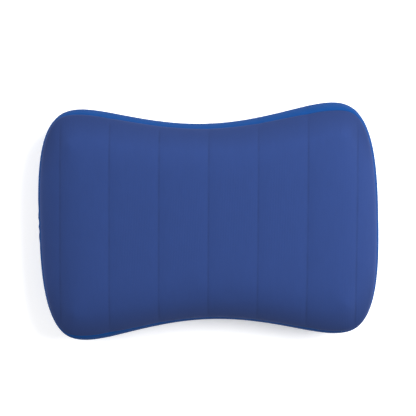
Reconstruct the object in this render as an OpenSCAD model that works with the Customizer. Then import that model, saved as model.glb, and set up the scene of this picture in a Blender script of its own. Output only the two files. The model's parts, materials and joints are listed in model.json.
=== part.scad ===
// Inflatable camp pillow: two fabric-faced skins, upright baffles inside, and a
// push-in inflation valve on the left end of the back skin.
// It lies on its back skin: X is along the pillow, Y across it and Z up through it.

/* [Pillow] */
// overall length, end to end
pillow_l = 370; // [300:5:450]
// width across the middle of the waist
waist_w = 212; // [160:2:260]
// extra half width that the two lobes reach towards their corners
lobe_rise = 90.5; // [60:0.5:110]
// inflated thickness, also twice the radius of the rounded sides
thickness = 80; // [60:1:110]
// thickness of one laminated skin
skin_t = 1; // [0.6:0.1:2]

/* [Seam] */
// height of the seam above the middle of the side at the two ends, in degrees
seam_end = 21; // [0:1:40]
// height of the seam above the middle of the side along the long edges, in degrees
seam_side = 28; // [0:1:40]
// half width of the tape inside the seam, in degrees around the side
tape_half = 8; // [4:1:12]
// thickness of the seam tape
tape_t = 0.6; // [0.3:0.1:1]

/* [Baffles] */
// spacing of the seven baffles along the pillow
baffle_pitch = 53; // [40:1:60]
// thickness of a baffle web
web_t = 0.8; // [0.5:0.1:1.5]
// width of the welded foot of a baffle
foot_w = 8; // [5:0.5:12]
// how far each web stops short of the outline, which leaves the air way round its ends
web_gap = 12; // [6:1:30]

/* [Valve] */
// how far the valve axis points below level, in degrees
valve_tilt = 35; // [25:1:45]
// distance of the valve's flat from the centre of the rounded side
valve_seat_d = 33.5; // [32:0.5:36]
// outer radius of the collar that passes through the skin
collar_r = 12; // [10:0.5:14]
// outer radius of the flange welded inside the skin
flange_r = 16; // [14:0.5:18]
// radius of the inflation mouth
mouth_r = 6.2; // [5:0.1:7]
// outer radius of the mouth's neck
neck_r = 8; // [7:0.1:9]
// travel of the check flap
flap_travel = 2; // [1:0.1:2.5]

/* [Part] */
// the sub-part to draw

/* [Hidden] */

$fn = 96;
eps = 0.02;
half_l = pillow_l / 2;
half_w = waist_w / 2;
flank_r = thickness / 2;

// the outline is a rounded oblong whose half width grows from the waist to the lobes
end_power = 3.38;
side_power = 2.574;
end_bulge = 0.028;
rise_2 = lobe_rise * 0.718;
rise_4 = lobe_rise * 0.282;
// the rounded side is narrower round the corners, where the outline turns tightly
corner_take = 17;

navy = [0.17, 0.25, 0.46];
royal = [0.16, 0.32, 0.6];
tape_grey = [0.55, 0.58, 0.62];
clear_tpu = [0.72, 0.76, 0.8];
dark_tpu = [0.13, 0.14, 0.16];
silicone = [0.85, 0.86, 0.84];

// ---- outline ----

function half_width(u) = half_w + rise_2 * pow(u, 2) + rise_4 * pow(u, 4);

function outline(t) =
    let (c = cos(t), s = sin(t))
    let (u = sign(c) * pow(abs(c), 2 / end_power), v = sign(s) * pow(abs(s), 2 / side_power))
    [half_l * u * (1 + end_bulge * v * v), half_width(u) * v];

function outward(t) =
    let (d = outline(t + 0.06) - outline(t - 0.06))
    [d[1], -d[0]] / norm(d);

// angles of one quarter: close together at the valve and round the corner
end_steps = [0, 0.0407, 0.0814, 0.1221, 0.18, 0.24, 0.3, 0.36, 0.42, 0.48, 0.54, 0.6, 0.655, 0.71, 0.764];
side_steps = [0.77, 0.72, 0.65, 0.57, 0.49, 0.41, 0.33, 0.25, 0.17, 0.085];
quarter = concat(
    [for (v = end_steps) asin(pow(v, side_power / 2))],
    [for (u = side_steps) acos(pow(u, end_power / 2))]);
last = len(quarter) - 1;
turn = concat(
    quarter,
    [90],
    [for (i = [last:-1:1]) 180 - quarter[i]],
    [for (a = quarter) 180 + a],
    [270],
    [for (i = [last:-1:1]) 360 - quarter[i]]);
n = len(turn);

rim = [for (t = turn) outline(t)];
dir = [for (t = turn) outward(t)];

function side_width(i) =
    let (turned = 2 * dir[i][0] * dir[i][1] * sign(rim[i][0] * rim[i][1]))
    flank_r - corner_take * max(0, turned - 0.1) / 0.9;

function seam_angle(i) = seam_end + (seam_side - seam_end) * pow(dir[i][1], 2);

// ---- the flat that the stiff valve pulls into the skin ----

axis_x = -cos(valve_tilt);
axis_z = -sin(valve_tilt);
flat_r = 25.5;
fade_r = 44;

function fade(d) = d < flat_r ? 1 : d > fade_r ? 0 : (fade_r - d) / (fade_r - flat_r);

// inner is how deep the point lies under the outer face of the skin
function dimpled(p, inner) =
    let (q = [p[0] + half_l - flank_r, p[1], p[2] - flank_r])
    let (out = q[0] * axis_x + q[2] * axis_z)
    let (off = norm([q[1], q[0] * axis_z - q[2] * axis_x]))
    let (pull = out > 0 ? fade(off) * max(0, out - valve_seat_d + inner) : 0)
    [p[0] - pull * axis_x, p[1], p[2] - pull * axis_z];

// a point of the skin: column i, angle a up the side, and depth under the outer face
function skin_point(i, a, depth) =
    let (w = side_width(i))
    let (reach = (w - depth) * cos(a) - w)
    dimpled([rim[i][0] + reach * dir[i][0], rim[i][1] + reach * dir[i][1],
        flank_r + (flank_r - depth) * sin(a)], depth);

// ---- shells ----

// Closed shell between two stacks of rings. Each stack runs from the seam to a flat plate.
// rows[k][i] is the angle of ring k at column i; flip is true for a stack that runs downwards.
module dish(rows, depth, flip) {
    k_last = len(rows) - 1;
    points = concat(
        [for (k = [0:k_last]) for (i = [0:n - 1]) skin_point(i, rows[k][i], 0)],
        [for (k = [0:k_last]) for (i = [0:n - 1]) skin_point(i, rows[k][i], depth)]);
    outer = function(k, i) k * n + i % n;
    inner = function(k, i) (k_last + 1 + k) * n + i % n;
    faces = concat(
        [for (k = [0:k_last - 1]) for (i = [0:n - 1]) each [
            [outer(k, i), outer(k + 1, i), outer(k + 1, i + 1)],
            [outer(k, i), outer(k + 1, i + 1), outer(k, i + 1)],
            [inner(k, i), inner(k + 1, i + 1), inner(k + 1, i)],
            [inner(k, i), inner(k, i + 1), inner(k + 1, i + 1)]]],
        [for (i = [0:n - 1]) each [
            [outer(0, i), outer(0, i + 1), inner(0, i + 1)],
            [outer(0, i), inner(0, i + 1), inner(0, i)]]],
        [[for (i = [n - 1:-1:0]) outer(k_last, i)]],
        [[for (i = [0:n - 1]) inner(k_last, i)]]);
    polyhedron(points, flip ? [for (f = faces) [for (j = [len(f) - 1:-1:0]) f[j]]] : faces, convexity = 6);
}

// how one ring runs: a fixed angle, or an angle measured from the seam
function level(a) = [for (i = [0:n - 1]) a];
function from_seam(a) = [for (i = [0:n - 1]) seam_angle(i) + a];

module front_panel() {
    color(navy)
        dish(concat([from_seam(0), from_seam(tape_half)], [for (a = [44, 54, 65, 77, 90]) level(a)]),
            skin_t, false);
}

module back_panel() {
    valve_rows = [for (k = [4:-1:-4]) 7.5 * k - valve_tilt + 1];
    color(royal)
        difference() {
            dish(concat([from_seam(0), from_seam(-tape_half)], [for (a = concat([5], valve_rows, [-77, -90]))
                level(a)]), skin_t, true);
            at_valve()
                translate([0, 0, -3])
                    cylinder(h = 6, r = collar_r + 0.1);
        }
}

module seam_tape() {
    rows = [from_seam(-tape_half), from_seam(0), from_seam(tape_half)];
    depths = [skin_t, skin_t + tape_t];
    points = [for (d = depths) for (k = [0:2]) for (i = [0:n - 1]) skin_point(i, rows[k][i], d)];
    at = function(d, k, i) (3 * d + k) * n + i % n;
    faces = [for (i = [0:n - 1]) each [
        [at(0, 0, i), at(0, 1, i), at(0, 0, i + 1)],
        [at(0, 1, i), at(0, 1, i + 1), at(0, 0, i + 1)],
        [at(0, 1, i), at(0, 2, i), at(0, 2, i + 1)],
        [at(0, 1, i), at(0, 2, i + 1), at(0, 1, i + 1)],
        [at(1, 0, i), at(1, 0, i + 1), at(1, 1, i)],
        [at(1, 1, i), at(1, 0, i + 1), at(1, 1, i + 1)],
        [at(1, 1, i), at(1, 2, i + 1), at(1, 2, i)],
        [at(1, 1, i), at(1, 1, i + 1), at(1, 2, i + 1)],
        [at(0, 0, i), at(0, 0, i + 1), at(1, 0, i + 1)],
        [at(0, 0, i), at(1, 0, i + 1), at(1, 0, i)],
        [at(0, 2, i), at(1, 2, i + 1), at(0, 2, i + 1)],
        [at(0, 2, i), at(1, 2, i), at(1, 2, i + 1)]]];
    color(tape_grey)
        polyhedron(points, faces, convexity = 6);
}

// ---- baffles ----

function to_segment(p, a, b) =
    let (ab = b - a, s = min(1, max(0, (p - a) * ab / (ab * ab))))
    norm(p - a - s * ab);
function to_rim(p) = min([for (i = [0:n - 1]) to_segment(p, rim[i], rim[(i + 1) % n])]);

// half height inside the skins at a place in plan, less a small clearance
function room(p) =
    let (r = flank_r - skin_t - 0.5, d = flank_r - min(flank_r, to_rim(p)))
    sqrt(max(0, r * r - d * d));

function width_at(x) =
    let (u = abs(x) / half_l, v = pow(1 - pow(u, end_power), 1 / side_power))
    half_width(u) * v;

web_rows = 17;

// upright web between the skins, with a welded foot along each skin where that is flat
module baffle(x) {
    y_end = width_at(x) - web_gap;
    ys = [for (k = [0:web_rows]) -y_end * cos(180 * k / web_rows)];
    tops = [for (y = ys) [y, flank_r + room([x, y])]];
    feet_y = width_at(x) - flank_r - 2;
    flat = abs(x) + foot_w / 2 < half_l - flank_r;
    slope = asin(min(1, max(0, abs(x) - half_l + flank_r) / (flank_r - skin_t)));
    color(clear_tpu) {
        translate([x + web_t / 2, 0, 0])
            rotate([90, 0, -90])
                linear_extrude(web_t)
                    polygon(concat([for (p = tops) [-p[0], p[1]]],
                        [for (k = [web_rows:-1:0]) [-tops[k][0], thickness - tops[k][1]]]));
        for (up = [1, -1])
            if (flat)
                translate([x - foot_w / 2, -feet_y, flank_r + up * (flank_r - skin_t) - (up > 0 ? tape_t : 0)])
                    cube([foot_w, 2 * feet_y, tape_t]);
            else
                translate([sign(x) * (half_l - flank_r), 0, flank_r])
                    rotate([0, sign(x) * (up > 0 ? slope : 180 - slope), 0])
                        translate([-foot_w / 2, -feet_y * 0.62, flank_r - skin_t - tape_t - 0.1])
                            cube([foot_w, feet_y * 1.24, tape_t]);
    }
}

// ---- valve, drawn on its own axis: x up the side, z outwards, 0 at the skin's outer face ----

module at_valve() {
    translate([flank_r - half_l, 0, flank_r])
        rotate([0, -90 - valve_tilt, 0])
            translate([0, 0, valve_seat_d])
                children();
}

seat_slope = 0.4;
seat_top = 1;
seat_r = collar_r - 1.32;
seat_depth = 4.6;
plug_depth = 3.1;
plug_flange_z = 2;
plug_flange_t = 1;
plug_flange_r = collar_r + 0.6;
neck_top = 6.2;
step_z = 1.9;
throat_r = mouth_r - 0.8;
hub_r = 2.2;
hub_bore = 1.1;
hub_top = 1.4 - plug_depth;
stem_r = 0.8;
cap_r = 9.5;
cap_bore = neck_r + 0.3;
cap_low = 4.3;
cap_roof = neck_top + 0.3;
cap_top = cap_roof + 1;
// hinge pins: the plug's lies above the valve, the cap's to its right
plug_pin = [14.9, 0, 2.2];
cap_pin = [0, -12.2, 4.6];
pin_gap = 0.06;

module valve_patch() {
    color(royal)
        at_valve()
            difference() {
                cylinder(h = 0.5, r = 17.5);
                translate([0, 0, -1])
                    cylinder(h = 3, r = collar_r + 0.1);
            }
}

module valve_base() {
    color(clear_tpu)
        at_valve() {
            rotate_extrude()
                polygon([
                    [seat_r, seat_top], [collar_r + 1.4, seat_top], [collar_r + 1.4, 0.5], [collar_r, 0.5],
                    [collar_r, -skin_t], [flange_r, -skin_t], [flange_r, -2 * skin_t],
                    [collar_r, -2 * skin_t], [collar_r - 0.6, seat_top - seat_depth],
                    [seat_r - seat_slope * seat_depth, seat_top - seat_depth]]);
            // two ears and the pin of the plug's hinge
            for (side = [-1, 1])
                translate([0, side * 3.7, 0])
                    ear(plug_pin, 1.35, 0.5, 12.7);
            translate(plug_pin)
                rotate([90, 0, 0])
                    cylinder(h = 8, r = 0.7, center = true);
        }
}

// one ear of a hinge: rounded over the pin, with a foot that reaches back to start_x
module ear(pin, r, low, start_x) {
    translate([pin[0], 0, pin[2]])
        rotate([90, 0, 0])
            cylinder(h = 1.2, r = r, center = true);
    translate([pin[0] - r, -0.6, low])
        cube([2 * r, 1.2, pin[2] - low]);
    translate([start_x, -0.6, low])
        cube([pin[0] - start_x, 1.2, 1]);
}

module dump_plug() {
    color(dark_tpu)
        at_valve() {
            rotate_extrude()
                polygon([
                    [mouth_r, neck_top], [mouth_r, step_z], [throat_r, step_z], [throat_r, -plug_depth],
                    [seat_r - 0.48 - seat_slope * (plug_depth + 0.9), -plug_depth],
                    [seat_r - 0.48, 0.9], [seat_r - 0.48, plug_flange_z], [plug_flange_r, plug_flange_z],
                    [plug_flange_r, plug_flange_z + plug_flange_t], [neck_r, plug_flange_z + plug_flange_t],
                    [neck_r, neck_top]]);
            // spider across the throat that carries the check flap
            difference() {
                union() {
                    translate([0, 0, -plug_depth])
                        cylinder(h = hub_top + plug_depth, r = hub_r);
                    for (a = [30, 150, 270])
                        rotate([0, 0, a])
                            translate([0, -0.6, -plug_depth])
                                cube([throat_r + 0.3, 1.2, hub_top + plug_depth]);
                }
                translate([0, 0, -plug_depth - 1])
                    cylinder(h = 5, r = hub_bore);
            }
            // two ears and the pin of the cap's hinge, on a lobe of the flange
            rotate([0, 0, -90])
                for (side = [-1, 1])
                    translate([0, side * 2.9, 0])
                        ear([-cap_pin[1], 0, cap_pin[2]], 1.15, plug_flange_z, 10.9);
            translate(cap_pin)
                rotate([0, 90, 0])
                    cylinder(h = 6.4, r = 0.6, center = true);
        }
}

module plug_gasket() {
    color(silicone)
        at_valve()
            translate([0, 0, 1.3])
                difference() {
                    cylinder(h = plug_flange_z - 1.3, r = collar_r + 0.2);
                    translate([0, 0, -1])
                        cylinder(h = 3, r = seat_r - 0.48);
                }
}

module plug_strap() {
    low = plug_flange_z + plug_flange_t;
    color(dark_tpu)
        at_valve()
            difference() {
                union() {
                    translate([0, 0, low])
                        cylinder(h = 0.9, r = 10.4);
                    translate([6, -2.7, low])
                        cube([plug_pin[0] - 6, 5.4, 0.7]);
                    translate(plug_pin)
                        rotate([90, 0, 0])
                            cylinder(h = 5.4, r = 1.5, center = true);
                }
                translate([0, 0, low - 1])
                    cylinder(h = 4, r = neck_r);
                translate(plug_pin)
                    rotate([90, 0, 0])
                        cylinder(h = 8, r = 0.7 + pin_gap, center = true);
            }
}

module check_flap() {
    color(silicone)
        at_valve()
            translate([0, 0, -plug_depth - 1])
                cylinder(h = 0.7, r = throat_r + 1.4);
}

module flap_stem() {
    color(silicone)
        at_valve()
            translate([0, 0, -plug_depth - 0.3])
                cylinder(h = hub_top + flap_travel + 0.4 + plug_depth + 0.3, r = stem_r);
}

module flap_button() {
    color(silicone)
        at_valve()
            translate([0, 0, hub_top + flap_travel + 0.4])
                cylinder(h = 0.8, r = hub_r - 0.3);
}

module valve_cap() {
    color(dark_tpu)
        at_valve()
            difference() {
                union() {
                    translate([0, 0, cap_low])
                        cylinder(h = cap_top - cap_low, r = cap_r);
                    translate([-2.5, 8, cap_top - 0.9])
                        cube([5, 4, 0.9]);
                }
                translate([0, 0, cap_low - 1])
                    cylinder(h = cap_roof - cap_low + 1, r = cap_bore);
            }
}

module cap_strap() {
    color(dark_tpu)
        at_valve()
            difference() {
                union() {
                    translate([0, 0, 5])
                        cylinder(h = 0.85, r = 10.6);
                    translate([-2.1, cap_pin[1], 5])
                        cube([4.2, 6, 0.85]);
                    translate(cap_pin)
                        rotate([0, 90, 0])
                            cylinder(h = 4.2, r = 1.25, center = true);
                }
                translate([0, 0, 4])
                    cylinder(h = 4, r = cap_r);
                translate(cap_pin)
                    rotate([0, 90, 0])
                        cylinder(h = 6, r = 0.6 + pin_gap, center = true);
            }
}

front_panel();
back_panel();
seam_tape();
baffle(-3 * baffle_pitch);  // baffle_1
baffle(-2 * baffle_pitch);  // baffle_2
baffle(-baffle_pitch);  // baffle_3
baffle(0);  // baffle_4
baffle(baffle_pitch);  // baffle_5
baffle(2 * baffle_pitch);  // baffle_6
baffle(3 * baffle_pitch);  // baffle_7
valve_patch();
valve_base();
dump_plug();
plug_gasket();
plug_strap();
check_flap();
flap_stem();
flap_button();
valve_cap();
cap_strap();
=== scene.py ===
import json
import math

import bmesh
import bpy
import numpy as np
from mathutils import Matrix, Vector
from mathutils.bvhtree import BVHTree

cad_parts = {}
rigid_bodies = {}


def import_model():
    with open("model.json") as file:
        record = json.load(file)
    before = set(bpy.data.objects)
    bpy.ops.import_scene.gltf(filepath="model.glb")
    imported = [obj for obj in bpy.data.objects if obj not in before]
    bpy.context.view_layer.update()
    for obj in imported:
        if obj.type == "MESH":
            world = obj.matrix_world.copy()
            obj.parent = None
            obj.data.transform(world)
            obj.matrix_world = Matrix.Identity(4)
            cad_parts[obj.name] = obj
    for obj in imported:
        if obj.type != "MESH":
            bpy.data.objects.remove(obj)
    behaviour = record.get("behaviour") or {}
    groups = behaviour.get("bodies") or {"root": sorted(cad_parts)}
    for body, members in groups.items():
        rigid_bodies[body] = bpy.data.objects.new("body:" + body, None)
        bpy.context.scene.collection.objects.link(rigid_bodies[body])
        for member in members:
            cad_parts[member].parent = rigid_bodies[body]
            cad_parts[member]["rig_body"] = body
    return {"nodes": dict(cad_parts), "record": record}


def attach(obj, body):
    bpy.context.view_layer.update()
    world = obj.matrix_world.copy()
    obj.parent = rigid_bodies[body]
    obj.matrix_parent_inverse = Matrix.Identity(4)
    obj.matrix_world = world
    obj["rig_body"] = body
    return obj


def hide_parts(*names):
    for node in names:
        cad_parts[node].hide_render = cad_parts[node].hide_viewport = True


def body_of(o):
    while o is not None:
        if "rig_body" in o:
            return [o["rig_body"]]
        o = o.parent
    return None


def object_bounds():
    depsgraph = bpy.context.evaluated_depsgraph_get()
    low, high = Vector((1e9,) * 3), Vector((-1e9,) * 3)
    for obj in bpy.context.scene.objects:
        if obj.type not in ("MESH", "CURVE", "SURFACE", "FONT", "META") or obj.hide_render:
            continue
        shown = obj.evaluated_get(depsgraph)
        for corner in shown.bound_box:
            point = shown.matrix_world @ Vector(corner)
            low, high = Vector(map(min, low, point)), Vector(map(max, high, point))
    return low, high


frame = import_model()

CAD_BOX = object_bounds()
MM = 0.001

# ---- the pillow's outline in plan, in metres ----

HALF_L = CAD_BOX[1].x
FLANK = CAD_BOX[1].z / 2                    # half the thickness: the radius of the rolled side
HALF_W = 106 * MM                           # half the width at the waist
LOBE_RISE = 90.5 * MM                       # what the law of the half width adds at its ends
LOBE_SQUARE, LOBE_FOURTH = 0.718, 0.282     # in shares of the second and fourth powers
END_POWER = 3.38                            # how square the outline is, along and across
SIDE_POWER = 2.574
END_BULGE = 0.028                           # how much the ends flare towards the corners
CORNER_TAKE = 17 / 40 * FLANK               # how much narrower the roll is at the corners
CORNER_TURN = 0.1                           # how much of a turn doesn't count as a corner

# ---- the seam, in degrees up the rolled side ----

SEAM_END = 22.0
SEAM_SIDE = 31.0
SEAM_DIP = 5.0                              # lower at the waist
SEAM_LEAN = 5.0                             # higher towards one end, on the long sides
SEAM_POWER = 1.2                            # how soon the seam climbs from an end to a side
WAIST_REACH = 110 * MM
SEAM_ROWS = 3                               # rows of the mesh, seam included, that it holds

# how a panel's edge rolls into the seam: slide back from it, and depth below the skin
SEAM_EDGE = [(0.9 * MM, 0.05 * MM), (0.35 * MM, 0.22 * MM), (0.05 * MM, 0.6 * MM),
             (0.02 * MM, 1.3 * MM)]

# ---- the baffles and what they make of the face ----

BAFFLE_PITCH = 53 * MM
WELD_LEAN = 0.034                           # slope of the weld lines against the short axis
FAN_FROM = 2.1 * BAFFLE_PITCH               # columns stand upright as far as here,
FAN_TO = 2.5 * BAFFLE_PITCH                 # and square to the outline from here
SCALLOP = 0.75 * MM
SCALLOP_REACH, SCALLOP_POWER = 0.6, 2.4     # how wide and how sharp the channels are
SCALLOP_LEVEL = 0.7                         # the lift that stays on the CAD's face
FACE_FROM, FACE_TO = 0.25, 0.75             # upright part of the normal, from side to face
CROWN = 2.4 * MM
CROWN_FLARE = 0.7                           # how much wider the crown is at the ends
SIDE_FULLNESS = 1.0 * MM

# ---- the soft margin of the face, and the cloth simulation ----

CORNER_NEAR = 22 * MM
CORNER_FAR = 60 * MM
MARGIN_FROM, MARGIN_TO = 0.5, 0.9           # height on the roll, in shares of the flank
MARGIN_EASE = 0.36
CORNER_EASE = 0.8
EASE_ROUNDS = 150
OUTER_HOLD = 3.8 * MM                       # how far beside it the outermost weld holds
CLOTH_FRAMES = 20
CLOTH_PRESSURE = 4.0
CLOTH_CAP = 1.6 * MM
CLOTH_MASS = 0.2
LEAST_WEIGHT = 0.02
CLOTH_EASE, CLOTH_EASE_ROUNDS = 0.3, 4
SKIN_T = 0.5 * MM

# ---- the mesh's density ----

CELL = 14
CORNER_STEPS = 10
END_STEPS = 58
FRONT_ROWS = 12
BACK_ROWS = 22
CORNER_T = math.radians(36.5)
OUTLINE_SAMPLES = 400
HALVINGS = 60
TINY_ANGLE = 0.001
NEAR_TIP = 0.02

# ---- the valve's own axis, as the CAD places it, and the skin round it ----

VALVE_TILT = math.radians(35)
VALVE_SEAT = 33.5 * MM
VALVE_OUT = Vector((-math.cos(VALVE_TILT), 0, -math.sin(VALVE_TILT)))
VALVE_UP = Vector((-math.sin(VALVE_TILT), 0, math.cos(VALVE_TILT)))
VALVE_AT = Vector((FLANK - HALF_L, 0, FLANK)) + VALVE_OUT * VALVE_SEAT
FLAT_R = 19 * MM
FADE_R = 42 * MM
HOLE_R = 13.2 * MM
HOLE_DEPTH = 3 * MM
PULL_DEPTH = 10 * MM
PUCKERS, PUCKER_H = 13, 0.45 * MM
PUCKER_DRIFT, DRIFT_WAVES = 1.3, 3
PUCKER_DEPTH = 12 * MM

MOULDED = ("valve_patch", "valve_base", "dump_plug", "plug_gasket", "plug_strap", "check_flap",
           "flap_stem", "flap_button", "valve_cap", "cap_strap")
FOLD_ANGLE = math.radians(32)
SAME_POINT = 0.002 * MM
UNDER_SKIN = 0.8 * MM
UNDER_SKIN_TRIES = 3

# ---- the knit: scales of its textures, depths, and where its welds and its painted shade by the seam change ----

WALE_SCALE, NAP_SCALE, DRIFT_SCALE, STREAK_SCALE, BREAK_SCALE = 180, 900, 38, 240, 60
DRIFT_TONE, NAP_TONE, STREAK_TONE = 0.16, 0.34, 0.22
WELD_DEPTH, WALE_DEPTH, NAP_DEPTH = 0.15 * MM, 0.06 * MM, 0.12 * MM
WELD_CORE, WELD_FADE, WELD_TONE = 0.35 * MM, 1.6 * MM, 0.38
WELD_FROM, WELD_WHOLE = 6.0, 16.0           # degrees past the seam
# painted shade on the rolled long sides, darkest just past the seam
SEAM_SHADE_FROM, SEAM_SHADE_TO = 2.0, 48.0         # degrees past the seam
SEAM_SHADE_INNER, SEAM_SHADE_OUTER = 55 * MM, 92 * MM   # off the long axis
MOULDED_EDGE_R = 0.25 * MM

# ---- stage, light and camera ----

FLOOR_HALF = 40.0
FLOOR_Z = -0.1 * MM
FLOOR_GLOW = 0.3
WORLD_LIGHT = 0.43
CAMERA_PITCH = math.radians(5.9)
CAMERA_YAW = math.radians(0.5)
CAMERA_ROLL = math.radians(-1.62)
CAMERA_AWAY = 1.88
CAMERA_RAISE = 15.8 * MM
CAMERA_ASIDE = -0.1 * MM
CAMERA_TARGET_Z = FLANK * 1.2
VIEW_WIDTH = 0.4508
SENSOR_MM = 36


# ---- outline and skin ----

def half_width(u):
    """The lobe's half width at the share u of the half length."""
    return HALF_W + LOBE_RISE * (LOBE_SQUARE * u ** 2 + LOBE_FOURTH * u ** 4)


def outline(t):
    """The pillow's widest outline in plan: a rounded oblong with a waist."""
    c, s = math.cos(t), math.sin(t)
    u = math.copysign(abs(c) ** (2 / END_POWER), c)
    v = math.copysign(abs(s) ** (2 / SIDE_POWER), s)
    return np.array([HALF_L * u * (1 + END_BULGE * v * v), half_width(u) * v])


def outward(t):
    """The outline's normal at angle t."""
    d = outline(t + TINY_ANGLE) - outline(t - TINY_ANGLE)
    return np.array([d[1], -d[0]]) / np.linalg.norm(d)


def smooth(a, b, x):
    """0 up to a and 1 from b, with a soft rise between them."""
    s = np.clip((x - a) / (b - a), 0, 1)
    return s * s * (3 - 2 * s)


def angle_at_x(x):
    """The outline angle on the upper edge where it crosses the weld line at x."""
    lo, hi = NEAR_TIP, math.pi - NEAR_TIP
    for _ in range(HALVINGS):
        mid = (lo + hi) / 2
        at = outline(mid)
        if at[0] - WELD_LEAN * at[1] > x:
            lo = mid
        else:
            hi = mid
    return (lo + hi) / 2


def even_angles(t0, t1, steps):
    """Angles that cut the outline between t0 and t1 into even lengths."""
    ts = np.linspace(t0, t1, OUTLINE_SAMPLES)
    pts = np.array([outline(t) for t in ts])
    run = np.concatenate([[0], np.cumsum(np.linalg.norm(np.diff(pts, axis=0), axis=1))])
    return list(np.interp(np.linspace(0, run[-1], steps + 1), run, ts))


def boundary_angles():
    """Outline angles along the upper edge, left to right, and up the right end."""
    count = 5 * CELL
    middle = [angle_at_x(FAN_TO * (2 * k / count - 1)) for k in range(count + 1)]
    left = even_angles(math.pi - CORNER_T, middle[0], CORNER_STEPS)
    right = even_angles(middle[-1], CORNER_T, CORNER_STEPS)
    return left[:-1] + middle + right[1:], even_angles(-CORNER_T, CORNER_T, END_STEPS)


class Column:
    """One line of the skin from the outline inwards, at outline angle t."""

    def __init__(self, t, along_side):
        self.at = outline(t)
        normal = outward(t)
        inward = -normal
        if along_side:
            upright = -math.copysign(1, self.at[1]) * np.array([WELD_LEAN, 1.0])
            k = smooth(FAN_FROM, FAN_TO, abs(self.at[0]))
            inward = upright * (1 - k) + inward * k
            inward /= np.linalg.norm(inward)
        turned = 2 * normal[0] * normal[1] * math.copysign(1, self.at[0] * self.at[1])
        width = FLANK - CORNER_TAKE * max(0.0, turned - CORNER_TURN) / (1 - CORNER_TURN)
        self.inward = inward
        self.reach = width / float(-inward @ normal)
        side = abs(normal[1]) ** SEAM_POWER
        dip = side * max(0.0, 1 - (self.at[0] / WAIST_REACH) ** 2)
        lean = math.copysign(side, normal[1]) * self.at[0] / HALF_L
        self.seam = math.radians(SEAM_END + (SEAM_SIDE - SEAM_END) * side
                                 - SEAM_DIP * dip + SEAM_LEAN * lean)

    def point(self, a):
        xy = self.at + self.inward * self.reach * (1 - math.cos(a))
        return [xy[0], xy[1], FLANK + FLANK * math.sin(a)]

    def rim(self):
        return self.at + self.inward * self.reach


def plate(low, high, left, right):
    """Plan positions of the flat part: straight lines across it, bowed out at the two ends."""
    cols, rows = len(low), len(left)
    share = [(p[1] - left[0][1]) / (left[-1][1] - left[0][1]) for p in left]
    grid = np.zeros((cols, rows, 2))
    for p in range(cols):
        for q in range(rows):
            at = low[p] * (1 - share[q]) + high[p] * share[q]
            end, corner = (right, cols - 1) if at[0] > 0 else (left, 0)
            flat_x = low[corner][0] * (1 - share[q]) + high[corner][0] * share[q]
            bow = end[q][0] - flat_x
            k = (abs(at[0]) - FAN_FROM) / (abs(low[corner][0]) - FAN_FROM)
            k = min(1.0, max(0.0, k))
            grid[p, q] = at + np.array([bow * k, 0])
    return grid


def scallop(x):
    """How far the skin stands between two baffles: 1 in mid cell, 0 on a weld."""
    off = abs((x / BAFFLE_PITCH + 0.5) % 1 - 0.5) * 2
    return 1 - (1 - min(1.0, off / SCALLOP_REACH)) ** SCALLOP_POWER


def build_skin():
    """The whole skin as one closed mesh: its points, how far each is past the seam in degrees,
    its faces, the corners of its two flats, and how firmly the cloth is held at each point."""
    upper, end = boundary_angles()
    cols, rows = len(upper), len(end)
    cells = ([(p, 0) for p in range(cols - 1)]
             + [(cols - 1, q) for q in range(rows - 1)]
             + [(p, rows - 1) for p in range(cols - 1, 0, -1)]
             + [(0, q) for q in range(rows - 1, 0, -1)])

    def column(cell):
        p, q = cell
        if q == 0:
            return Column(upper[cols - 1 - p] - math.pi, True)
        if q == rows - 1:
            return Column(upper[p], True)
        return Column(end[q] if p == cols - 1 else math.pi - end[q], False)

    columns = [column(c) for c in cells]
    at_cell = dict(zip(cells, columns))
    low = [at_cell[(p, 0)].rim() for p in range(cols)]
    high = [at_cell[(p, rows - 1)].rim() for p in range(cols)]
    left = [at_cell[(0, q)].rim() for q in range(rows)]
    right = [at_cell[(cols - 1, q)].rim() for q in range(rows)]
    flat = plate(low, high, left, right)

    points, past, faces = [], [], []
    n = len(columns)

    def add(co, degrees):
        points.append(co)
        past.append(degrees)
        return len(points) - 1

    seam_row = [add(c.point(c.seam), 0.0) for c in columns]
    stacks = {}
    for up, count in ((1, FRONT_ROWS), (-1, BACK_ROWS)):
        stack = [seam_row]
        for k in range(1, count + 1):
            row = []
            for c in columns:
                a = c.seam + (up * math.pi / 2 - c.seam) * k / count
                row.append(add(c.point(a), math.degrees(a - c.seam)))
            stack.append(row)
        for a, b in zip(stack, stack[1:]):
            for i in range(n):
                j = (i + 1) % n
                quad = (a[i], a[j], b[j], b[i])
                faces.append(quad if up > 0 else quad[::-1])
        inner = dict(zip(cells, stack[-1]))
        z = 2 * FLANK if up > 0 else 0.0
        for p in range(1, cols - 1):
            for q in range(1, rows - 1):
                xy = flat[p, q]
                inner[(p, q)] = add([xy[0], xy[1], z], up * 90.0)
        for p in range(cols - 1):
            for q in range(rows - 1):
                quad = (inner[(p, q)], inner[(p + 1, q)],
                        inner[(p + 1, q + 1)], inner[(p, q + 1)])
                faces.append(quad if up > 0 else quad[::-1])
        stacks[up] = (stack, inner)
    corners = [stacks[up][1][(p, q)]
               for up in (1, -1) for p in (0, cols - 1) for q in (0, rows - 1)]
    held = held_weights(np.array(points), stacks, cols, rows)
    return np.array(points), np.array(past), faces, corners, held


def new_mesh(name, points, faces):
    mesh = bpy.data.meshes.new(name)
    mesh.from_pydata([tuple(p) for p in points], [], faces)
    mesh.update()
    return mesh


def new_object(name, mesh):
    obj = bpy.data.objects.new(name, mesh)
    bpy.context.scene.collection.objects.link(obj)
    return obj


def applied(obj):
    """Applies the object's modifiers to its mesh."""
    depsgraph = bpy.context.evaluated_depsgraph_get()
    mesh = bpy.data.meshes.new_from_object(obj.evaluated_get(depsgraph), depsgraph=depsgraph)
    obj.modifiers.clear()
    obj.data = mesh


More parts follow.
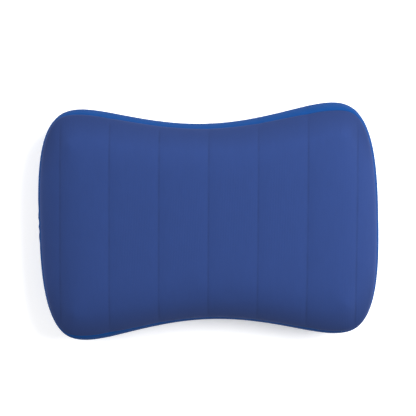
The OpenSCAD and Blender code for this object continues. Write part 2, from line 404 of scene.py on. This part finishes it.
def coordinates(mesh, what="co"):
    """The mesh's points, or with "normal" their normals, as an array of three columns."""
    values = np.zeros(len(mesh.vertices) * 3, np.float32)
    mesh.vertices.foreach_get(what, values)
    return values.reshape(-1, 3).astype(float)


def set_coordinates(mesh, co):
    mesh.vertices.foreach_set("co", co.astype(np.float32).ravel())
    mesh.update()


def relax(mesh, weight, rounds):
    """Evens out the points of the mesh, each by its own weight."""
    co = coordinates(mesh)
    ends = np.zeros(len(mesh.edges) * 2, np.int32)
    mesh.edges.foreach_get("vertices", ends)
    a, b = ends.reshape(-1, 2).T
    count = np.bincount(ends, minlength=len(co))[:, None]
    for _ in range(rounds):
        near = np.zeros_like(co)
        for axis in range(3):
            near[:, axis] += (np.bincount(a, co[b, axis], len(co))
                              + np.bincount(b, co[a, axis], len(co)))
        co += (near / count - co) * weight[:, None]
    set_coordinates(mesh, co)


def round_edges(mesh, corners):
    """Lets the flat of the face run into the rolled sides over a broad margin, and over a
    broader one at its corners."""
    co = coordinates(mesh)
    off = np.min([np.hypot(co[:, 0] - c[0], co[:, 1] - c[1]) for c in co[corners]], axis=0)
    high = smooth(MARGIN_FROM, MARGIN_TO, np.abs(co[:, 2] - FLANK) / FLANK)
    near = 1 - smooth(CORNER_NEAR, CORNER_FAR, off)
    ease = MARGIN_EASE + (CORNER_EASE - MARGIN_EASE) * near
    relax(mesh, high * ease, EASE_ROUNDS)


def held_weights(points, stacks, cols, rows):
    """How firmly the welds and the seam hold each point: 1 on them, 0 in mid cell."""
    held = np.zeros(len(points))
    for stack, inner in stacks.values():
        for row in stack[:SEAM_ROWS]:
            held[row] = 1.0
        for weld in range(CELL // 2 + CORNER_STEPS, cols - CORNER_STEPS, CELL):
            for q in range(rows):
                held[inner[(weld, q)]] = 1.0
            for row in stack:
                held[row[weld]] = 1.0
                held[row[cols + rows - 2 + (cols - 1 - weld)]] = 1.0
    outer = 3 * BAFFLE_PITCH
    across = np.abs(points[:, 0] - WELD_LEAN * points[:, 1])
    return np.maximum(held, np.clip(1 - np.abs(across - outer) / OUTER_HOLD, 0, 1))


def inflate(skin, held):
    """Blows the skin up with Blender's cloth: the welds and the seam stay, the cells stand out."""
    rest = coordinates(skin.data)
    group = skin.vertex_groups.new(name="held")
    for index, weight in enumerate(held):
        if weight > LEAST_WEIGHT:
            group.add([index], float(weight), "REPLACE")
    cloth = skin.modifiers.new("inflate", "CLOTH")
    cloth.settings.quality = 4
    cloth.settings.mass = CLOTH_MASS
    cloth.settings.use_pressure = True
    cloth.settings.uniform_pressure_force = CLOTH_PRESSURE
    cloth.settings.vertex_group_mass = "held"
    cloth.settings.effector_weights.gravity = 0
    cloth.collision_settings.use_collision = False
    cloth.point_cache.frame_start, cloth.point_cache.frame_end = 1, CLOTH_FRAMES
    scene = bpy.context.scene
    for number in range(1, CLOTH_FRAMES + 1):
        scene.frame_set(number)
    applied(skin)
    scene.frame_set(1)
    moved = coordinates(skin.data) - rest
    far = np.linalg.norm(moved, axis=1, keepdims=True) + 1e-9
    set_coordinates(skin.data, rest + moved / far * CLOTH_CAP * np.tanh(far / CLOTH_CAP))
    relax(skin.data, CLOTH_EASE * (1 - np.minimum(1, held)), CLOTH_EASE_ROUNDS)


def pillow_out(mesh):
    """A soft channel at each weld, a slight crown on the face, and fuller long sides."""
    co, no = coordinates(mesh), coordinates(mesh, "normal")
    x, y = co[:, 0], co[:, 1]
    lift = np.array([scallop(v) for v in x - WELD_LEAN * y])
    side = np.abs(no[:, 2])
    along = SCALLOP * (lift - SCALLOP_LEVEL) * smooth(FACE_FROM, FACE_TO, side)
    wide = HALF_W * (1 + CROWN_FLARE * (x / HALF_L) ** 2)
    crown = CROWN * np.clip(1 - (x / HALF_L) ** 2, 0, 1) * np.clip(1 - (y / wide) ** 2, 0, 1)
    co += no * along[:, None]
    co[:, 1] += SIDE_FULLNESS * no[:, 1] * np.abs(no[:, 1])
    co[:, 2] += np.where(no[:, 2] > 0, crown * side, 0)
    set_coordinates(mesh, co)


def stand_on_floor(mesh):
    """The under side is flat where it rests."""
    co = coordinates(mesh)
    co[:, 2] = np.maximum(co[:, 2], 0)
    set_coordinates(mesh, co)


def valve_frame(co):
    """Each point's height over the valve's flat, distance from its axis, and angle round it."""
    q = co - np.array(VALVE_AT)
    out = q @ np.array(VALVE_OUT)
    up = q @ np.array(VALVE_UP)
    side = q[:, 1]
    return out, np.hypot(up, side), np.arctan2(side, up)


def press_valve_flat(mesh):
    """The stiff valve flange pulls the skin flat round it, and the skin puckers beside it."""
    co = coordinates(mesh)
    out, off, angle = valve_frame(co)
    pull = (1 - smooth(FLAT_R, FADE_R, off)) * np.maximum(out, 0) * (out > -PULL_DEPTH)
    ripple = np.cos(PUCKERS * angle + PUCKER_DRIFT * np.sin(DRIFT_WAVES * angle)) * PUCKER_H
    ripple *= smooth(FLAT_R - 1 * MM, FLAT_R + 5 * MM, off)
    ripple *= 1 - smooth(FLAT_R + 7 * MM, FADE_R, off)
    ripple *= out > -PUCKER_DEPTH
    co += np.outer(ripple - pull, np.array(VALVE_OUT))
    set_coordinates(mesh, co)


def cut_valve_hole(mesh):
    """Opens the skin over the valve's collar, and draws the hole's edge onto a true circle."""
    bm = bmesh.new()
    bm.from_mesh(mesh)
    gone = []
    for v in bm.verts:
        q = v.co - VALVE_AT
        out = q.dot(VALVE_OUT)
        if abs(out) < HOLE_DEPTH and (q - VALVE_OUT * out).length < HOLE_R:
            gone.append(v)
    bmesh.ops.delete(bm, geom=gone, context="VERTS")
    for v in bm.verts:
        if v.is_boundary:
            q = v.co - VALVE_AT
            out = q.dot(VALVE_OUT)
            flat = q - VALVE_OUT * out
            v.co = VALVE_AT + flat * (HOLE_R / flat.length) + VALVE_OUT * out
    bm.to_mesh(mesh)
    bm.free()


def split_panel(source, name, side):
    """One panel of the skin, with its edge rolled in at the seam: the front for side 1, the
    back for side -1."""
    mesh = source.copy()
    mesh.name = name
    bm = bmesh.new()
    bm.from_mesh(mesh)
    past = bm.verts.layers.float["past_seam"]

    def on_seam(v):
        return abs(v[past]) < 0.01

    seam_normal = {v.index: v.normal.copy() for v in bm.verts if on_seam(v)}
    other = [f for f in bm.faces if sum(v[past] for v in f.verts) * side < 0]
    bm.verts.index_update()
    key = bm.verts.layers.int.new("was")
    for v in bm.verts:
        v[key] = v.index
    bmesh.ops.delete(bm, geom=other, context="FACES")
    loose = [v for v in bm.verts if not v.link_faces]
    bmesh.ops.delete(bm, geom=loose, context="VERTS")
    edge = [e for e in bm.edges if e.is_boundary and all(on_seam(v) for v in e.verts)]
    rim = {v for e in edge for v in e.verts}
    back = {}
    for v in rim:
        inner = [e.other_vert(v) for e in v.link_edges if e.other_vert(v) not in rim]
        way = sum((w.co - v.co for w in inner), Vector()) / len(inner)
        back[v[key]] = way.normalized()
    home = {v[key]: v.co.copy() for v in rim}
    row = rim
    for number, (slide, sink) in enumerate(SEAM_EDGE):
        if number:
            made = bmesh.ops.extrude_edge_only(bm, edges=edge)["geom"]
            row = [g for g in made if isinstance(g, bmesh.types.BMVert)]
            edge = [g for g in made if isinstance(g, bmesh.types.BMEdge)]
        for v in row:
            v.co = home[v[key]] + back[v[key]] * slide - seam_normal[v[key]] * sink
    bmesh.ops.recalc_face_normals(bm, faces=bm.faces)
    for f in bm.faces:
        f.smooth = True
    bm.to_mesh(mesh)
    bm.free()
    return new_object(name, mesh)


# ---- materials ----

def material(name):
    mat = bpy.data.materials.new(name)
    mat.use_nodes = True
    return mat, mat.node_tree


class Graph:
    """Short calls for building a node tree."""

    def __init__(self, tree):
        self.tree = tree
        self.shader = tree.nodes["Principled BSDF"]

    def node(self, kind, **values):
        node = self.tree.nodes.new(kind)
        for key, value in values.items():
            setattr(node, key, value)
        return node

    def link(self, a, b):
        self.tree.links.new(a, b)

    def put(self, socket, value):
        if isinstance(value, bpy.types.NodeSocket):
            self.link(value, socket)
        else:
            socket.default_value = value

    def math(self, operation, a, b=0.0, c=None, clamp=False):
        node = self.node("ShaderNodeMath", operation=operation, use_clamp=clamp)
        self.put(node.inputs[0], a)
        self.put(node.inputs[1], b)
        if c is not None:
            self.put(node.inputs[2], c)
        return node.outputs[0]

    def place(self):
        return self.node("ShaderNodeTexCoord").outputs["Object"]

    def stretched(self, scale):
        node = self.node("ShaderNodeMapping")
        self.link(self.place(), node.inputs["Vector"])
        node.inputs["Scale"].default_value = scale
        return node.outputs[0]

    def noise(self, scale, detail=2.0, rough=0.5, vector=None):
        node = self.node("ShaderNodeTexNoise")
        self.link(vector or self.place(), node.inputs["Vector"])
        node.inputs["Scale"].default_value = scale
        node.inputs["Detail"].default_value = detail
        node.inputs["Roughness"].default_value = rough
        return node.outputs["Fac"]

    def ramp(self, value, a, b, low=0.0, high=1.0):
        node = self.node("ShaderNodeMapRange", clamp=True)
        self.put(node.inputs["Value"], value)
        for key, number in (("From Min", a), ("From Max", b), ("To Min", low), ("To Max", high)):
            node.inputs[key].default_value = number
        return node.outputs[0]

    def mix(self, factor, a, b):
        node = self.node("ShaderNodeMix", data_type="RGBA")
        self.put(node.inputs["Factor"], factor)
        self.put(node.inputs["A"], a)
        self.put(node.inputs["B"], b)
        return node.outputs["Result"]

    def bump(self, height, distance, strength=1.0, after=None):
        node = self.node("ShaderNodeBump")
        self.put(node.inputs["Height"], height)
        node.inputs["Distance"].default_value = distance
        node.inputs["Strength"].default_value = strength
        if after is not None:
            self.link(after, node.inputs["Normal"])
        return node.outputs[0]


def linear(r, g, b):
    """A colour given in screen values, 0 to 255, by the sRGB curve."""
    return tuple(c / 255 / 12.92 if c < 10 else ((c / 255 + 0.055) / 1.055) ** 2.4
                 for c in (r, g, b)) + (1,)


def scaled(colour, factor, lift=0.0):
    """The colour made darker or lighter."""
    return tuple(min(1.0, c * factor + lift) for c in colour[:3]) + (1,)


def brushed_knit(name, base, fuzz, sheen, seam_shade=0.0, gloss=0.25):
    """Film-backed knit with a brushed face: fine wales, short fuzz, and the thin, broken weld
    lines of the baffles sunk into it. Painted shade darkens the face's rolled long sides
    by the seam."""
    mat, tree = material(name)
    g = Graph(tree)
    split = g.node("ShaderNodeSeparateXYZ")
    g.link(g.place(), split.inputs[0])
    x = g.math("MULTIPLY_ADD", split.outputs["Y"], -WELD_LEAN, split.outputs["X"])

    # half a pitch puts each weld in the middle of its cell, and ten more keep the sum above 0
    shift = 10.5
    cell = g.math("FRACT", g.math("ADD", g.math("DIVIDE", x, BAFFLE_PITCH), shift))
    off_weld = g.math("MULTIPLY", g.math("ABSOLUTE", g.math("SUBTRACT", cell, 0.5)), BAFFLE_PITCH)
    past = g.node("ShaderNodeAttribute", attribute_name="past_seam")
    reach = g.ramp(g.math("ABSOLUTE", past.outputs["Fac"]), WELD_FROM, WELD_WHOLE)
    broken = g.ramp(g.noise(BREAK_SCALE, detail=3, rough=0.6), 0.35, 0.65, 0.45, 1.0)
    weld = g.math("MULTIPLY", g.ramp(off_weld, WELD_CORE, WELD_FADE, 1.0, 0.0), reach)
    weld = g.math("MULTIPLY", weld, broken)

    wales = g.node("ShaderNodeTexWave", wave_type="BANDS", bands_direction="X", wave_profile="SIN")
    g.link(g.place(), wales.inputs["Vector"])
    wales.inputs["Scale"].default_value = WALE_SCALE
    wales.inputs["Distortion"].default_value = 1.5
    wales.inputs["Detail"].default_value = 1
    wales.inputs["Detail Scale"].default_value = 3
    nap = g.noise(NAP_SCALE, detail=3, rough=0.6)
    drift = g.noise(DRIFT_SCALE, detail=3, rough=0.55)
    streak = g.noise(STREAK_SCALE, detail=2, vector=g.stretched((1.0, 0.25, 0.25)))

    tone = 0.0
    for texture, share in ((drift, DRIFT_TONE), (nap, NAP_TONE), (streak, STREAK_TONE)):
        tone = g.math("MULTIPLY_ADD", g.math("SUBTRACT", texture, 0.5), share, tone)
    factor = g.math("ADD", tone, 0.5, clamp=True)
    colour = g.mix(factor, scaled(base, 0.8), scaled(base, 1.2))
    # painted shade by the seam, on the long sides only: the rolled flanks are drawn darker
    aside = g.math("ABSOLUTE", split.outputs["Y"])
    seam_shade_ramp = g.ramp(past.outputs["Fac"], SEAM_SHADE_FROM, SEAM_SHADE_TO, 1.0, 0.0)
    painted_seam_shade = g.math("MULTIPLY", seam_shade_ramp, g.ramp(aside, SEAM_SHADE_INNER, SEAM_SHADE_OUTER))
    colour = g.mix(g.math("MULTIPLY", painted_seam_shade, seam_shade), colour, scaled(base, 0.4))
    colour = g.mix(g.math("MULTIPLY", weld, WELD_TONE), colour, scaled(base, 0.5))
    g.link(colour, g.shader.inputs["Base Color"])

    deep = g.bump(g.math("SUBTRACT", 1.0, weld), WELD_DEPTH, 0.7)
    knit = g.bump(wales.outputs["Fac"], WALE_DEPTH, 0.5, after=deep)
    fine = g.bump(nap, NAP_DEPTH, fuzz, after=knit)
    g.link(fine, g.shader.inputs["Normal"])
    g.link(g.ramp(nap, 0.3, 0.7, 0.86, 0.98), g.shader.inputs["Roughness"])
    g.shader.inputs["Sheen Weight"].default_value = sheen
    g.shader.inputs["Sheen Roughness"].default_value = 0.45
    g.shader.inputs["Sheen Tint"].default_value = scaled(base, 4, lift=0.08)
    g.shader.inputs["Specular IOR Level"].default_value = gloss
    return mat


def moulded(name, base, rough, grain, see_through=0.0):
    """Moulded film or rubber: a soft grain, small tone changes, rounded edges, a satin face."""
    mat, tree = material(name)
    g = Graph(tree)
    speck = g.noise(1400, detail=2, rough=0.5)
    cloud = g.noise(120, detail=3, rough=0.6)
    shade = g.math("ADD", g.math("MULTIPLY", speck, 0.35), g.math("MULTIPLY", cloud, 0.65))
    colour = g.mix(g.ramp(shade, 0.3, 0.7), scaled(base, 0.88), scaled(base, 1.12))
    g.link(colour, g.shader.inputs["Base Color"])
    g.link(g.ramp(cloud, 0.3, 0.7, rough - 0.06, rough + 0.08), g.shader.inputs["Roughness"])
    edge = g.node("ShaderNodeBevel", samples=6)
    edge.inputs["Radius"].default_value = MOULDED_EDGE_R
    g.link(g.bump(speck, 0.05 * MM, grain, after=edge.outputs[0]), g.shader.inputs["Normal"])
    g.shader.inputs["Transmission Weight"].default_value = see_through
    return mat


def give(obj, mat):
    obj.data.materials.clear()
    obj.data.materials.append(mat)


# ---- pieces ----

def make_panels(mats):
    """The two panels. Returns the whole skin they were cut from, for the parts inside it."""
    points, past, faces, corners, held = build_skin()
    skin = new_object("skin_blank", new_mesh("skin_blank", points, faces))
    layer = skin.data.attributes.new("past_seam", "FLOAT", "POINT")
    layer.data.foreach_set("value", past.astype(np.float32))
    round_edges(skin.data, corners)
    inflate(skin, held)
    finer = skin.modifiers.new("finer", "SUBSURF")
    finer.levels = finer.render_levels = 1
    applied(skin)
    pillow_out(skin.data)
    press_valve_flat(skin.data)
    stand_on_floor(skin.data)
    cut_valve_hole(skin.data)
    front = split_panel(skin.data, "front_skin", 1)
    back = split_panel(skin.data, "back_skin", -1)
    for obj, node, slot in ((front, "front_panel", "navy_knit"),
                            (back, "back_panel", "royal_knit")):
        cloth = obj.modifiers.new("cloth", "SOLIDIFY")
        cloth.thickness = SKIN_T
        cloth.offset = -1
        applied(obj)
        give(obj, mats[slot])
        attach(obj, "casing")
        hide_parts(node)
    return skin


def copy_of(node, name):
    """The CAD part's own shape as a new piece, joined up so that its round faces shade softly."""
    bm = bmesh.new()
    bm.from_mesh(frame["nodes"][node].data)
    bmesh.ops.remove_doubles(bm, verts=bm.verts, dist=SAME_POINT)
    bmesh.ops.recalc_face_normals(bm, faces=bm.faces)
    mesh = bpy.data.meshes.new(name)
    bm.to_mesh(mesh)
    bm.free()
    mesh.shade_smooth()
    mesh.set_sharp_from_angle(angle=FOLD_ANGLE)
    piece = new_object(name, mesh)
    even = piece.modifiers.new("even", "WEIGHTED_NORMAL")
    even.keep_sharp = True
    return piece


def fit_inside(mesh, tree):
    """Draws the points that reach the skin, or stand out of it, in to just under it."""
    co = coordinates(mesh)
    for point in co:
        for _ in range(UNDER_SKIN_TRIES):
            near, normal, _, _ = tree.find_nearest(Vector(point))
            depth = (near - Vector(point)).dot(normal)
            if depth >= UNDER_SKIN:
                break
            point += np.array(normal) * (depth - UNDER_SKIN)
    set_coordinates(mesh, co)


def make_small_parts(mats, skin):
    """The valve's mouldings, and the tape and the baffles' webs, which lie just under the skin."""
    tree = BVHTree.FromObject(skin, bpy.context.evaluated_depsgraph_get())
    for entry in frame["record"]["subparts"]:
        node, finish = entry["node"], entry["material_slot"]
        if node in MOULDED:
            piece = copy_of(node, node + "_moulding")
        elif node.startswith("baffle") or node == "seam_tape":
            piece = copy_of(node, node + "_film")
            if node != "seam_tape":
                co = coordinates(piece.data)
                co[:, 0] += WELD_LEAN * co[:, 1]
                set_coordinates(piece.data, co)
            fit_inside(piece.data, tree)
        else:
            continue
        give(piece, mats[finish])
        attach(piece, body_of(frame["nodes"][node])[0])
        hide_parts(node)


# ---- stage, lights and camera ----

def make_floor():
    corners = [(x * FLOOR_HALF, y * FLOOR_HALF, FLOOR_Z)
               for x, y in ((-1, -1), (1, -1), (1, 1), (-1, 1))]
    mesh = new_mesh("floor", corners, [(0, 1, 2, 3)])
    floor = new_object("floor", mesh)
    mat, tree = material("pale_floor")
    shader = tree.nodes["Principled BSDF"]
    shader.inputs["Base Color"].default_value = (0.95, 0.95, 0.95, 1)
    shader.inputs["Emission Color"].default_value = (1, 1, 1, 1)
    shader.inputs["Emission Strength"].default_value = FLOOR_GLOW
    shader.inputs["Roughness"].default_value = 0.9
    give(floor, mat)


def soft_light(name, place, size, power):
    """A round lamp that faces the middle of the pillow."""
    data = bpy.data.lights.new(name, "AREA")
    data.shape = "DISK"
    data.size = size
    data.energy = power
    lamp = new_object(name, data)
    lamp.location = place
    lamp.rotation_mode = "QUATERNION"
    lamp.rotation_quaternion = (Vector((0, 0, FLANK)) - Vector(place)).to_track_quat("-Z", "Y")


def make_lights():
    world = bpy.data.worlds.new("studio")
    bpy.context.scene.world = world
    world.use_nodes = True
    background = world.node_tree.nodes["Background"]
    background.inputs["Color"].default_value = (1, 1, 1, 1)
    background.inputs["Strength"].default_value = WORLD_LIGHT
    soft_light("key", (0.78, 0.42, 1.0), size=1.1, power=31)
    soft_light("fill", (-1.1, 0.55, 0.9), size=1.2, power=12)
    bpy.context.scene.view_settings.view_transform = "Standard"


def make_camera():
    """Looks down on the face from a little beyond its upper edge."""
    data = bpy.data.cameras.new("camera")
    camera = new_object("camera", data)
    target = Vector((CAMERA_ASIDE, CAMERA_RAISE, CAMERA_TARGET_Z))
    back = Vector((math.sin(CAMERA_YAW), math.sin(CAMERA_PITCH), 1)).normalized()
    right = Vector((0, 1, 0)).cross(back).normalized()
    level = Matrix((right, back.cross(right), back)).transposed()
    turn = (level @ Matrix.Rotation(CAMERA_ROLL, 3, "Z")).to_quaternion()
    camera.rotation_mode = "QUATERNION"
    camera.rotation_quaternion = turn
    camera.location = target + back * CAMERA_AWAY
    data.sensor_width = SENSOR_MM
    data.lens = SENSOR_MM * CAMERA_AWAY / VIEW_WIDTH
    data.clip_start, data.clip_end = 0.05, 20
    bpy.context.scene.camera = camera


def make_materials():
    return {
        # the navy face gets painted shade by the seam, on its rolled long sides
        "navy_knit": brushed_knit("navy_brushed_knit", linear(29, 50, 100), fuzz=0.35,
                                  sheen=0.22, seam_shade=0.42),
        "royal_knit": brushed_knit("royal_knit", linear(9, 56, 113), fuzz=0.25, sheen=0.0,
                                   gloss=0.1),
        "royal_film": moulded("royal_film", linear(44, 82, 146), 0.45, 0.3),
        "seam_film": moulded("seam_film", linear(120, 126, 134), 0.4, 0.2),
        "baffle_film": moulded("baffle_film", linear(176, 184, 192), 0.35, 0.2),
        "clear_tpu": moulded("clear_tpu", linear(150, 160, 172), 0.32, 0.15, see_through=0.25),
        "dark_tpu": moulded("dark_tpu", linear(36, 38, 43), 0.38, 0.35),
        "silicone": moulded("silicone", linear(214, 214, 208), 0.5, 0.1),
    }


make_floor()
make_lights()
make_camera()
looks = make_materials()
whole_skin = make_panels(looks)
make_small_parts(looks, whole_skin)
bpy.data.objects.remove(whole_skin)
